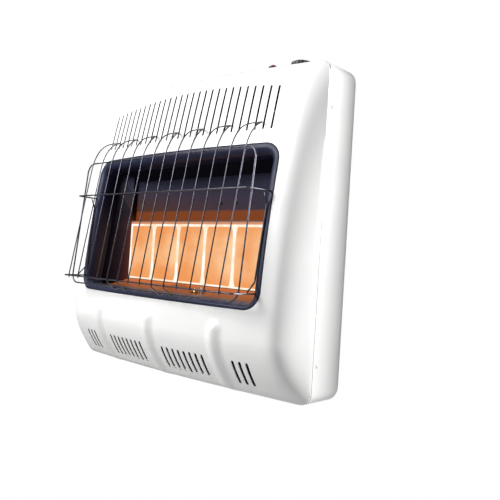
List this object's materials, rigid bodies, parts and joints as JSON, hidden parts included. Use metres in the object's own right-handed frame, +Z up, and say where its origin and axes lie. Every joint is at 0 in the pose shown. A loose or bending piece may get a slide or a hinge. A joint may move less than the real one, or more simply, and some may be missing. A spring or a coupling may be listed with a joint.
{
  "type": "infrared wall heater",
  "caption": "Wall-hung gas infrared heater: white bowed case with louvres, dark-framed window over glowing ceramic plaques, wire guard, turning knob and push igniter.",
  "frame": {"origin": "centre of the wall bracket's back face, on the wall plane", "axes": "+X to the viewer's right along the case's width, +Y into the wall, +Z up"},
  "size_m": [0.7016, 0.2475, 0.6413],
  "materials": {
    "white_enamel": "glossy white baked enamel",
    "navy_enamel": "satin blue-black high-temperature enamel",
    "black_wire": "black coated steel wire",
    "grey_steel": "blue-grey aluminised steel sheet",
    "zinc_steel": "zinc plated steel",
    "hot_steel": "heat-tinted bright steel lit by the burner",
    "hot_ceramic": "perforated ceramic glowing orange",
    "white_hot": "pale steel frame lit by the burner",
    "gasket_fibre": "pressed ceramic fibre",
    "cast_aluminium": "cast aluminium, as cast",
    "brass": "machined brass",
    "copper_tube": "drawn copper tube",
    "white_porcelain": "glazed porcelain insulator",
    "dark_plastic": "satin dark grey moulded plastic",
    "black_plastic": "black moulded plastic",
    "red_plastic": "glossy red moulded plastic",
    "orange_sleeve": "orange silicone sleeve"
  },
  "bodies": {
    "case": {"front_cover": "white_enamel", "rear_casing": "white_enamel", "window_trim": "navy_enamel", "cover_screw_1": "zinc_steel", "cover_screw_2": "zinc_steel", "cover_screw_3": "zinc_steel", "cover_screw_4": "zinc_steel", "wall_bracket": "zinc_steel", "guard_frame": "black_wire", "guard_upper_bar": "black_wire", "guard_lower_bar": "black_wire", "guard_side_stay_left": "black_wire", "guard_side_stay_right": "black_wire", "guard_hairpin_1": "black_wire", "guard_hairpin_2": "black_wire", "guard_hairpin_3": "black_wire", "guard_hairpin_4": "black_wire", "guard_hairpin_5": "black_wire", "guard_hairpin_6": "black_wire", "guard_hairpin_7": "black_wire", "firebox_left_wall": "grey_steel", "firebox_right_wall": "grey_steel", "heat_hood": "grey_steel", "firebox_back": "grey_steel", "lower_reflector": "hot_steel", "burner_plenum": "grey_steel", "ceramic_plaque_1": "hot_ceramic", "ceramic_plaque_2": "hot_ceramic", "ceramic_plaque_3": "hot_ceramic", "ceramic_plaque_4": "hot_ceramic", "ceramic_plaque_5": "hot_ceramic", "plaque_gasket": "gasket_fibre", "plaque_retainer": "white_hot", "burner_bracket_left": "zinc_steel", "burner_bracket_right": "zinc_steel", "mixing_tube": "grey_steel", "gas_valve_body": "cast_aluminium", "valve_bracket": "zinc_steel", "stem_spring": "zinc_steel", "piezo_igniter_body": "black_plastic", "igniter_nut": "zinc_steel", "igniter_spring": "zinc_steel", "main_injector": "brass", "injector_bracket": "zinc_steel", "inlet_tube": "copper_tube", "outlet_tube": "copper_tube", "pilot_tube": "copper_tube", "pressure_regulator": "cast_aluminium", "inlet_nipple": "brass", "regulator_bracket": "zinc_steel", "thermocouple": "copper_tube", "igniter_electrode": "white_porcelain", "igniter_wire": "orange_sleeve", "pilot_burner": "brass", "pilot_bracket": "zinc_steel", "pilot_shield": "hot_steel"},
    "valve_spindle": {"valve_stem": "brass"},
    "knob": {"control_knob": "dark_plastic"},
    "igniter_plunger": {"igniter_button": "red_plastic"}
  },
  "joints": [
    {"name": "knob_turn", "type": "hinge", "parent": "case", "child": "valve_spindle", "pos_m": [0.2555, -0.072, 0.1], "axis": [0, 0, -1], "range_deg": [0, 270]},
    {"name": "knob_push", "type": "slide", "parent": "valve_spindle", "child": "knob", "axis": [0, 0, -1], "range_m": [0, 0.0025], "stiffness_N_per_m": 600, "springref_m": -0.002, "deforming": ["stem_spring"]},
    {"name": "igniter_press", "type": "slide", "parent": "case", "child": "igniter_plunger", "axis": [0, 0, -1], "range_m": [0, 0.005], "stiffness_N_per_m": 800, "springref_m": -0.002, "deforming": ["igniter_spring"]}
  ]
}
